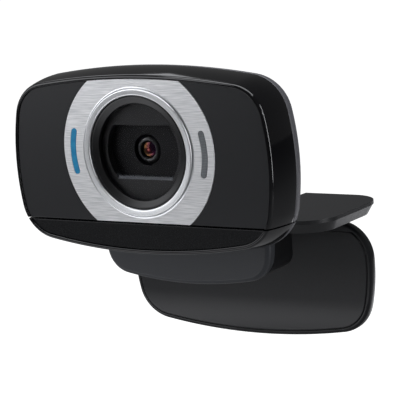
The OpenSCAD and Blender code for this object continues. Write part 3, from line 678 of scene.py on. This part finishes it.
def gloss_chin():
    bm = solid(HEAD, [(POCKET, -RIM)] + front_skin(), [(1, 0.18), (2, 0.2), (3, 0.4)])
    cut(bm, CHIN_TOP, "below")
    return dress(combine(make_object(bm, "gloss_chin"), chin_room()), "chin", "gloss_black",
                 "chin_shell", edge=0.05)


def matte_chin():
    outer = bend((PARTING + 0.3, FLARE + 0.05), (PARTING + 3.4, FLARE + 0.1),
                 (DEPTH - 0.6, FLARE - 2.2), (DEPTH - 1, FLARE - 4.2), 14)
    bm = solid(HEAD, [(PARTING, FLARE - 0.15)] + outer)
    cut(bm, CHIN_TOP, "below")
    return dress(combine(make_object(bm, "matte_chin_rear"), chin_room()), "chin", "rear_grey",
                 "chin_rear", edge=0.05)


gloss_chin()
matte_chin()


# %% [markdown]
# ## Flat pieces
# Panels, the trim plate and the small mouldings already have their true outlines in the frame.
# What they lack is the tiny radius that every real edge has and that draws a thin bright line.
# They could be drawn again, but a copy whose loose triangles are merged and whose edges are
# rounded keeps the outline exact.

# %% Rounded copies
# Each row is a node, its body, its finish and the width of its edge in mm.
COPIES = [
    ("face_panel", "head", "satin_charcoal", 0.14),
    ("trim_plate", "head", "brushed_aluminium", 0.06),
    ("light_bar", "head", "blue_light", 0.1),
    ("mic_bar", "head", "mic_grey", 0.1),
    ("chin_frame", "chin", "clip_black", 0.2),
    ("jaw_pad", "clip", "pad_rubber", 0.15),
    ("bridge_pad", "clip", "pad_rubber", 0.1),
    ("thread_insert", "clip", "brass", 0.15),
    ("tilt_pin", "clip", "steel", 0.15),
    ("flap_pin", "clip", "steel", 0.12),
    ("cover_screws", "head", "screw_steel", 0.05),
    ("bridge_screws", "clip", "screw_steel", 0.05),
    ("flap_screws", "flap", "screw_steel", 0.05),
    ("cable_grommet", "head", "pad_rubber", 0.12),
]
for row in COPIES:
    frame_copy(*row)


# %% Copies with a finish of their own
# These three share a slot with other pieces but get colours of their own, which are painted light.
# The block behind the lip and the chin's panel are painted darker than their slots, as painted
# shade, and the mask in the recess has a pale colour on its lower step, a painted highlight.
block = frame_copy("clip_block", "clip", "clip_black", 0.35)
# Painted shade: the block gets a darker colour than its slot, for the shade under the bridge.
block.data.materials[0] = eroded_abs("eroded_abs_deep", "#09090b", "#0e0e11", 0.45,
                                     0.25, 0.012, 0.2)
chin_front = frame_copy("chin_panel", "chin", "satin_charcoal", 0.14)
# Painted shade: the chin's panel gets a darker copy of the face's satin.
chin_front.data.materials[0] = satin_resin("satin_abs_chin", "#0a0b0d", "#0f1012", 0.26, 0.26)
mask = frame_copy("lens_mask", "head", "lens_black", 0.05)
mask.data.materials[0] = matte_black("anti_glare_mask", 0.3)
# Painted highlight: the mask's lower step gets a pale colour that stands for the light it catches.
mask.data.materials.append(satin_resin("polished_mask_edge", "#3c3e42", "#46484c", 0.25))
STEP_DROP, STEP_HALF = 5.6, 8
for face in mask.data.polygons:
    on_highlight_step = face.center.z < (LENS.z - STEP_DROP) * MM and face.normal.z > 0.25
    face.material_index = int(on_highlight_step and abs(face.center.x) < STEP_HALF * MM)


# %% [markdown]
# ## Round pieces of the lens
# The bright ring, the stepped bezel and the cover are all turned shapes. They could be stacked
# from cylinders, but one profile spun about the lens axis has its rounds and steps in one mesh.
# The profile is a few vertices joined by edges, each a radius and a height in front of the face,
# and the spin merges its own seam.

# %% Spin a profile about the lens axis
def lathe(name, profile, closed=True, steps=160):
    """Spin (radius, height in front of the face) points about the lens axis."""
    bm = bmesh.new()
    points = [bm.verts.new((r, -h, 0)) for r, h in profile]
    for a, b in zip(points, points[1:] + points[:1] if closed else points[1:]):
        bm.edges.new((a, b))
    bmesh.ops.spin(bm, geom=bm.verts[:] + bm.edges[:], cent=(0, 0, 0), axis=(0, 1, 0),
                   angle=2 * math.pi, steps=steps, use_merge=True)
    bmesh.ops.remove_doubles(bm, verts=bm.verts, dist=0.0005)
    bmesh.ops.recalc_face_normals(bm, faces=bm.faces)
    bmesh.ops.translate(bm, vec=LENS, verts=bm.verts)
    return make_object(bm, name)


# %% Bright ring, bezel and cover
RING_R = (ring_high.x - ring_low.x) / 2
RING_BORE = RING_R - 2
BEZEL_BORE = RING_BORE - 1.9


def bright_ring():
    inner = bend((RING_BORE, 0.05), (RING_BORE, 0.3), (RING_BORE + 0.1, 0.45),
                 (RING_BORE + 0.35, 0.5))
    crown = bend((RING_R - 0.75, 0.56), (RING_R - 0.5, 0.56), (RING_R - 0.42, 0.4),
                 (RING_R - 0.4, 0.1))
    low = [(RING_R - 0.42, -0.35), (RING_R - 0.2, -0.35), (RING_R - 0.18, 0.16),
           (RING_R - 0.02, 0.12), (RING_R, 0.0), (RING_R, -0.6), (RING_R - 0.65, -0.6),
           (RING_R - 0.65, -3), (RING_BORE, -3)]
    return dress(lathe("bright_ring", inner + crown + low), "head", "bright_ring", "lens_ring")


def black_bezel():
    edge = RING_BORE - 0.02
    crown = [(edge, -0.2), (RING_BORE - 0.25, -0.02), (RING_BORE - 0.5, 0.02)]
    lead = bend((BEZEL_BORE + 0.25, -0.42), (BEZEL_BORE + 0.05, -0.47), (BEZEL_BORE, -0.55),
                (BEZEL_BORE, -0.75))
    skirt = [(BEZEL_BORE, -1.5), (BEZEL_BORE + 0.5, -1.5), (BEZEL_BORE + 0.5, -5.3),
             (BEZEL_BORE + 1.3, -5.3), (BEZEL_BORE + 1.3, -3), (edge, -3)]
    return dress(lathe("black_bezel", crown + lead + skirt), "head", "lens_black", "lens_bezel",
                 sharp=20)


def cover_disc():
    low, high = box_mm("cover_window")
    radius, front, back = (high.x - low.x) / 2, FACE - low.y, FACE - high.y
    profile = [(0, front), (radius - 0.1, front), (radius, front - 0.1), (radius, back), (0, back)]
    return dress(lathe("cover_disc", profile, closed=False), "head", "window_clear", "cover_window")


bright_ring()
black_bezel()
cover_disc()


# %% [markdown]
# ## The eye itself
# The lens group slides to focus, so its two pieces ride on their own body. The barrel's nose
# falls away from a rounded lip, and the front element is a dome of coated glass. A squashed
# sphere would do for the dome, but the same spin gives it the flat rim that the barrel holds.

# %% Barrel and front lens
barrel_low, barrel_high = box_mm("lens_carrier")
glass_low, glass_high = box_mm("front_lens")


def lens_barrel():
    nose, back = FACE - barrel_low.y, FACE - barrel_high.y
    radius = (barrel_high.x - barrel_low.x) / 2
    bore = (glass_high.x - glass_low.x) / 2
    profile = [(bore + 0.05, nose - 0.35), (bore + 0.2, nose - 0.04), (bore + 0.42, nose)]
    profile += bend((bore + 0.5, nose), (bore + 0.9, nose - 0.1), (radius, nose - 0.5),
                    (radius, nose - 0.9))
    profile += [(radius, back), (bore - 0.5, back), (bore - 0.5, nose - 1.8),
                (bore + 0.05, nose - 1.8)]
    return dress(lathe("lens_barrel", profile, steps=96), "lens_group", "lens_black",
                 "lens_carrier")


def glass_eye():
    radius = (glass_high.x - glass_low.x) / 2
    top, back = FACE - glass_low.y, FACE - glass_high.y
    dome = bend((0, top), (radius * 0.5, top), (radius * 0.9, top - 0.22), (radius, top - 0.5), 12)
    profile = dome + [(radius, back), (0, back)]
    return dress(lathe("glass_eye", profile, closed=False, steps=96), "lens_group", "lens_glass",
                 "front_lens")


lens_barrel()
glass_eye()


# %% [markdown]
# ## The clip's bridge
# The bridge lies over the screen. Seen from the side it is a thin lid on a body whose wall leans
# in towards the screen, with a dark seam between the two. A cube with bevelled edges could make
# each, but one face with its four corners bevelled gives a true plan first. It is then extruded
# down, and the body's lower face is scaled in for the lean.

# %% Bridge lid and body
bridge_low, bridge_high = box_mm("bridge_cover")
base_low = box_mm("bridge_base")[0]
pin_low, pin_high = box_mm("tilt_pin")
axle_low, axle_high = box_mm("flap_pin")
PIN = (pin_low + pin_high) / 2  # the tilt hinge
AXLE = (axle_low + axle_high) / 2  # the flap's hinge
CORNER = 8
NOTCH = (27, 5)  # width and depth of the notch in the rear edge
KNUCKLE_R, PIN_BORE = 3, 1.25
EAR_R, AXLE_BORE = 1.85, 0.9
LUG = 8.85  # half the room left for the chin's lug
SCREW_X, SCREW_Y = 24, (2.5, 17.3)
HINGE_GAP = 0.35


def plan(growth, low, high, lean=0):
    """The bridge's plan as a solid, its lower face smaller all round by the lean."""
    bm = bmesh.new()
    bmesh.ops.create_grid(bm, x_segments=1, y_segments=1, size=1)
    half = Vector((bridge_high.x + growth, (bridge_high.y - bridge_low.y) / 2 + growth, 1))
    bmesh.ops.scale(bm, vec=half, verts=bm.verts)
    middle = (bridge_high.y + bridge_low.y) / 2
    bmesh.ops.translate(bm, vec=(0, middle, high), verts=bm.verts)
    bmesh.ops.bevel(bm, geom=bm.verts[:], offset=CORNER + growth, segments=14, profile=0.5,
                    affect="VERTICES", material=-1, clamp_overlap=True)
    walls = bmesh.ops.extrude_face_region(bm, geom=bm.faces[:])["geom"]
    floor = [g for g in walls if isinstance(g, bmesh.types.BMFace)][0]
    bmesh.ops.translate(bm, vec=(0, 0, low - high), verts=floor.verts[:])
    if lean:
        shrink = Vector((1 - lean / half.x, 1 - lean / half.y, 1))
        about = Matrix.Translation((0, -middle, 0))
        bmesh.ops.scale(bm, vec=shrink, space=about, verts=floor.verts[:])
    bmesh.ops.recalc_face_normals(bm, faces=bm.faces)
    return bm


def notch(extra):
    """The notch in the bridge's rear edge."""
    width, depth = NOTCH
    return brick((-width / 2 - extra, bridge_high.y - depth - extra, base_low.z - 9),
                 (width / 2 + extra, bridge_high.y + 9, bridge_high.z + 9))


def clear_lug(piece):
    """Cut the room for the chin's lug out of the bridge's front."""
    reach = KNUCKLE_R + HINGE_GAP
    combine(piece, rod((-LUG, PIN.y, PIN.z), (LUG, PIN.y, PIN.z), reach))
    combine(piece, brick((-LUG, PIN.y - 9, PIN.z - reach), (LUG, PIN.y, PIN.z + 9)))
    return piece


def bridge_lid():
    lid = make_object(plan(0, bridge_low.z, bridge_high.z), "bridge_lid")
    clear_lug(combine(lid, notch(0)))
    return dress(lid, "clip", "clip_black", "bridge_cover", edge=0.3)


def bridge_body():
    body = make_object(plan(-0.12, bridge_low.z - 2.3, bridge_low.z, lean=1.2), "bridge_body")
    clear_lug(combine(body, notch(0)))
    for side in (-1, 1):
        start = Vector((side * LUG, PIN.y, PIN.z))
        end = Vector((side * pin_high.x, PIN.y, PIN.z))
        combine(body, rod(start, end, KNUCKLE_R, 96), "UNION")
        combine(body, rod(start, end + Vector((side, 0, 0)), PIN_BORE))
    for side in (-1, 1):
        inner, outer = side * (NOTCH[0] / 2 + 2 * HINGE_GAP), side * axle_high.x
        combine(body, rod((inner, AXLE.y, AXLE.z), (outer, AXLE.y, AXLE.z), EAR_R), "UNION")
        low = (min(inner, outer), AXLE.y - EAR_R + 0.75, AXLE.z)
        high = (max(inner, outer), AXLE.y + EAR_R - 0.75, bridge_low.z - 1)
        combine(body, brick(low, high), "UNION")
    reach = axle_high.x + 1
    combine(body, rod((-reach, AXLE.y, AXLE.z), (reach, AXLE.y, AXLE.z), AXLE_BORE))
    for x in (-SCREW_X, SCREW_X):
        for y in SCREW_Y:
            combine(body, rod((x, y, base_low.z), (x, y, bridge_low.z - 1), SCREW_R + 0.1, 32))
    return dress(body, "clip", "clip_black", "bridge_base", edge=0.18)


bridge_lid()
bridge_body()


# %% [markdown]
# ## The front lip
# The lip hangs in front of the screen. It could be a bevelled plate, but it has the same kind of
# outline as the head, so the same sweep makes it, and its front edge is a broad bevel that
# catches the light. Its flat top is hidden under the bridge.

# %% Lip
lip_low, lip_high = box_mm("clip_lip")


def front_lip():
    drop = lip_high.z - lip_low.z
    outline = Outline(Vector((0, lip_low.y, lip_high.z)), lip_high.x, 3, drop, 1,
                      (400, 30, 95), (1.5, 6.6))
    back = lip_high.y - lip_low.y
    bm = solid(outline, [(0, -1.0), (0.55, -0.28), (1.0, 0), (back, -0.15)],
               [(0, 0.12), (1, 0.2), (2, 0.2)])
    cut(bm, lip_high.z, "below")
    lip = clear_lug(make_object(bm, "front_lip"))
    combine(lip, brick((-LUG, lip_low.y - 1, lip_high.z - 1.1),
                       (LUG, lip_high.y + 1, lip_high.z + 1)))
    return dress(lip, "clip", "lip_charcoal", "clip_lip", edge=0.06)


front_lip()


# %% [markdown]
# ## The folding flap
# The flap braces the camera against the back of the screen. It is a tray with a rounded hinge
# edge, and a soft-touch panel let into its face with a fine seam all round. Its face falls back
# a little towards the foot, which gathers a pale band of light there. A lattice could bend it,
# but ten level cuts and one short sum leave the tray and its panel bent exactly alike.

# %% Flap tray and panel
tray_low, tray_high = box_mm("flap_back")
soft_low, soft_high = box_mm("flap_front")
FLAP_T = tray_high.y - soft_low.y
FLAP_TOP = 12  # from the widest point to the top
FLAP_MID = tray_high.z - FLAP_TOP
FLAP = Outline(Vector((0, soft_low.y, FLAP_MID)), tray_high.x, FLAP_TOP, FLAP_MID - tray_low.z,
               0, (190, 45, 150), (9, 9.5))
SEAM = 1.0  # width of the tray's edge round the panel
FALL_START = tray_low.z + 10
FALL = 0.009  # fall in mm for each square mm below the start
FLAP_SCREW_Z = (2.7, -13.3)
print("flap:", round(tray_high.x * 2, 1), "mm wide,", round(FLAP_T, 2), "mm thick")


def roll_back(bm):
    """Let the flap's face fall back towards its foot, as a soft moulding does."""
    for step in range(10):
        bmesh.ops.bisect_plane(bm, geom=bm.verts[:] + bm.edges[:] + bm.faces[:],
                               plane_co=(0, 0, FALL_START - step), plane_no=(0, 0, 1))
    for v in bm.verts:
        below = max(0, FALL_START - v.co.z)
        share = 1 - (v.co.y - soft_low.y) / FLAP_T
        v.co.y += FALL * below ** 2 * max(0, share)


def flap_tray():
    bm = solid(FLAP, [(0.15, -0.8), (0.22, -0.45), (0.55, -0.1), (1.1, 0), (FLAP_T - 1.4, 0),
                      (FLAP_T - 0.5, -0.5), (FLAP_T, -1.6)], [(5, 0.4)])
    roll_back(bm)
    tray = make_object(bm, "flap_tray")
    keeper = make_object(rod((-50, AXLE.y, AXLE.z), (50, AXLE.y, AXLE.z), FLAP_T / 2, 96),
                         "keeper")
    stem = brick((-50, tray_low.y - 1, tray_low.z - 9), (50, tray_high.y + 1, AXLE.z))
    combine(tray, combine(keeper, stem, "UNION"), "INTERSECT")
    pocket = solid(FLAP, [(-1, -SEAM), (1.2, -SEAM)])
    cut(pocket, AXLE.z - FLAP_T / 2 - HINGE_GAP, "below")
    combine(tray, pocket)
    start, end = NOTCH[0] / 2 + HINGE_GAP, axle_high.x + HINGE_GAP
    for side in (-1, 1):
        a, b = sorted((side * start, side * end))
        combine(tray, rod((a, AXLE.y, AXLE.z), (b, AXLE.y, AXLE.z), FLAP_T / 2 + 1.5 * HINGE_GAP))
        combine(tray, brick((a, tray_low.y - 1, AXLE.z), (b, tray_high.y + 1, tray_high.z + 1)))
    for x in (-SCREW_X, SCREW_X):
        for z in FLAP_SCREW_Z:
            start, end = (x, tray_high.y - 1.2, z), (x, tray_high.y + 1, z)
            combine(tray, rod(start, end, SCREW_R + 0.1, 32))
    return dress(tray, "flap", "soft_black", "flap_back", edge=0.1)


def flap_panel():
    bm = solid(FLAP, [(0.02, -SEAM - 0.5), (0.1, -SEAM - 0.24), (0.3, -SEAM - 0.13),
                      (1.2, -SEAM - 0.12)], [(1, 0.08)])
    cut(bm, soft_high.z, "below")
    roll_back(bm)
    return dress(make_object(bm, "flap_panel"), "flap", "soft_black", "flap_front", edge=0.12)


flap_tray()
flap_panel()


# %% [markdown]
# ## What stays as it is
# The washers, the circuit board and the pieces inside are already the right shape. They could be
# hidden, but a glimpse through the lens or at a hinge should show real metal and resin, so they
# stay as frame nodes and each gets the finish that the record names for it. The floor and the
# holder of the lens recess are flocked instead, so that they swallow stray light.

# %% Finish the frame nodes that show
slot_of = {row["node"]: row["material_slot"] for row in frame["record"]["subparts"]}
kept = [node for node in frame["nodes"].values() if not node.hide_render]
flocked = matte_black("flocked_black", 0.12)
for node in kept:
    node.data.materials.clear()
    inside = node.name in ("lens_baffle", "lens_holder")
    node.data.materials.append(flocked if inside else FINISH[slot_of[node.name]])
print("frame nodes kept:", ", ".join(sorted(node.name for node in kept)))


# %% [markdown]
# ## The set
# The floor is a large sheet of paper well below the clip, so that no contact shadow ties it to a
# camera that is meant to hang from a screen. Paper under bright lamps would wash the dark
# plastic out, so it is mid grey to the lamps and glows white only where the camera sees it.

# %% Floor
FLOOR_DROP = 130
FLOOR_SIZE = 6000  # half its width


def floor():
    bm = bmesh.new()
    bmesh.ops.create_grid(bm, x_segments=1, y_segments=1, size=FLOOR_SIZE)
    bmesh.ops.translate(bm, vec=(0, 0, tray_low.z - FLOOR_DROP), verts=bm.verts)
    made = make_object(bm, "floor")
    paper, tree, shader = finish("matte_paper", "#a0a0a0", 0.9)
    noise = grain(tree, shader, size=3, depth=0.01)
    tint(tree, shader, noise, "#9c9c9c", "#a4a4a4")
    seen = add(tree, "ShaderNodeLightPath")
    tree.links.new(seen.outputs["Is Camera Ray"], shader.inputs["Emission Strength"])
    shader.inputs["Emission Color"].default_value = linear("#ffffff")
    made.data.materials.append(paper)
    print("floor:", FLOOR_DROP, "mm below the flap")


floor()


# %% [markdown]
# ## Lamps
# Black gloss shows the room rather than itself: what makes its edges read is a bright softbox in
# a dark room. An environment image could light it, but six soft lamps are easier to aim. A wide
# one overhead rims the head and fills the bridge. A tall one on the left gives the face and the
# brushed plate their sheen, and a narrow strip on the right draws a line down the shell's side.
# One behind lights the rear cover, and two weak ones below lift the foot of the flap, front and
# rear.

# %% Softboxes
def softbox(name, place, target, size, power):
    """A soft square lamp, in millimetres and watts, turned towards a point."""
    lamp = bpy.data.lights.new(name, "AREA")
    lamp.shape = "RECTANGLE"
    lamp.size, lamp.size_y = size[0] * MM, size[1] * MM
    lamp.energy = power
    lamp.color = linear("#fafbff")[:3]
    made = bpy.data.objects.new(name, lamp)
    bpy.context.scene.collection.objects.link(made)
    made.location = Vector(place) * MM
    made.visible_camera = False
    way = Vector(target) - Vector(place)
    made.rotation_euler = way.to_track_quat("-Z", "Y").to_euler()


softbox("top", (0, -60, 700), (0, 0, 20), (760, 420), 3.6)
softbox("left", (-560, -540, 300), (0, FACE, 60), (520, 660), 2.6)
softbox("right", (560, -45, 150), (0, FACE, 60), (60, 520), 1.1)
softbox("rear", (-800, 700, 900), (0, 10, 20), (500, 400), 0.9)
softbox("low_front", (-130, -175, -140), (0, 20, -10), (300, 110), 0.22)
softbox("low_rear", (60, 290, -140), (20, 0, 20), (140, 200), 0.15)
print("lamps:", len(bpy.data.lights))


# %% World and view
# The world is dim to every ray but the camera's, which sees plain white behind the object.
DIM, WHITE = 0.12, 1.0
world = bpy.data.worlds.new("studio")
bpy.context.scene.world = world
world.use_nodes = True
sky = world.node_tree
seen = add(sky, "ShaderNodeLightPath")
shade = add(sky, "ShaderNodeMapRange", {"To Min": DIM, "To Max": WHITE},
            {"Value": seen.outputs["Is Camera Ray"]})
background = sky.nodes["Background"]
background.inputs["Color"].default_value = linear("#ffffff")
sky.links.new(shade.outputs["Result"], background.inputs["Strength"])
bpy.context.scene.view_settings.view_transform = "Standard"
print("world strength:", DIM)


# %% [markdown]
# ## The camera
# A long lens from a little above and to the right, rolled a few degrees. It could be aimed by a
# Track To constraint, but that leaves no roll. Its place is given by two angles and a distance
# from the middle of the lens, so it can be read: yaw round the object, then height above it.

# %% Camera
YAW, HEIGHT, ROLL = math.radians(33.135), math.radians(10.423), math.radians(-4.175)
DISTANCE = 420
AIM = Vector((13.95, -10.58))  # the middle of the view, right of and below the lens
FOCAL, SENSOR = 168.5, 36


def long_lens_camera():
    back = Vector((math.sin(YAW) * math.cos(HEIGHT), -math.cos(YAW) * math.cos(HEIGHT),
                   math.sin(HEIGHT)))
    level = back.to_track_quat("Z", "Y").to_matrix()
    turn = level @ Matrix.Rotation(ROLL, 3, "Z")
    lens = bpy.data.cameras.new("long_lens")
    lens.lens = FOCAL
    lens.sensor_width = SENSOR
    lens.clip_start, lens.clip_end = 0.01, 50
    made = bpy.data.objects.new("long_lens", lens)
    bpy.context.scene.collection.objects.link(made)
    place = LENS + turn @ Vector((AIM.x, AIM.y, DISTANCE))
    made.matrix_world = Matrix.Translation(place * MM) @ turn.to_4x4()
    bpy.context.scene.camera = made
    print("camera axes:", [[round(c, 4) for c in row] for row in turn.transposed()])


long_lens_camera()
